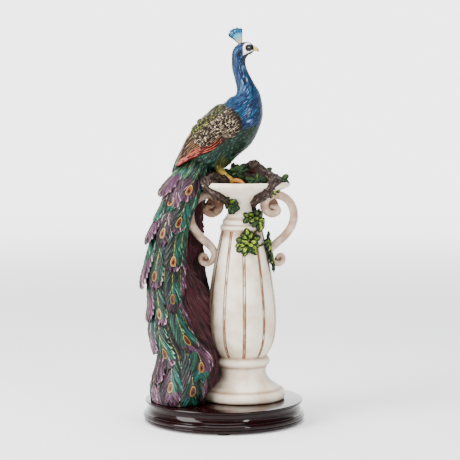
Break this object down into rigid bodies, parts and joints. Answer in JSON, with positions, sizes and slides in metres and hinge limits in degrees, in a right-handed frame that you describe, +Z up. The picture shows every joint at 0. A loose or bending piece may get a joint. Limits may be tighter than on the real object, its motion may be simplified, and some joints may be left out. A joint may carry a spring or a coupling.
{
  "type": "peacock figurine",
  "caption": "Table figurine of a peacock on a fluted urn with scroll handles, its long train trailing down to a round turned wooden plinth.",
  "frame": {"origin": "on the axis of the round plinth, on the surface that the pads stand on", "axes": "+Z up; +X the way the bird faces, with the train on the -X side; -Y towards the viewer of the side shown"},
  "size_m": [0.1952, 0.195, 0.471],
  "materials": {
    "painted_resin": "hand-painted cast resin, satin",
    "mahogany_lacquer": "dark mahogany stain under high-gloss lacquer",
    "pad_rubber": "matt"
  },
  "bodies": {
    "root": {"peacock_and_urn": "painted_resin", "plinth": "mahogany_lacquer", "pad_1": "pad_rubber", "pad_2": "pad_rubber", "pad_3": "pad_rubber", "pad_4": "pad_rubber"}
  },
  "joints": []
}
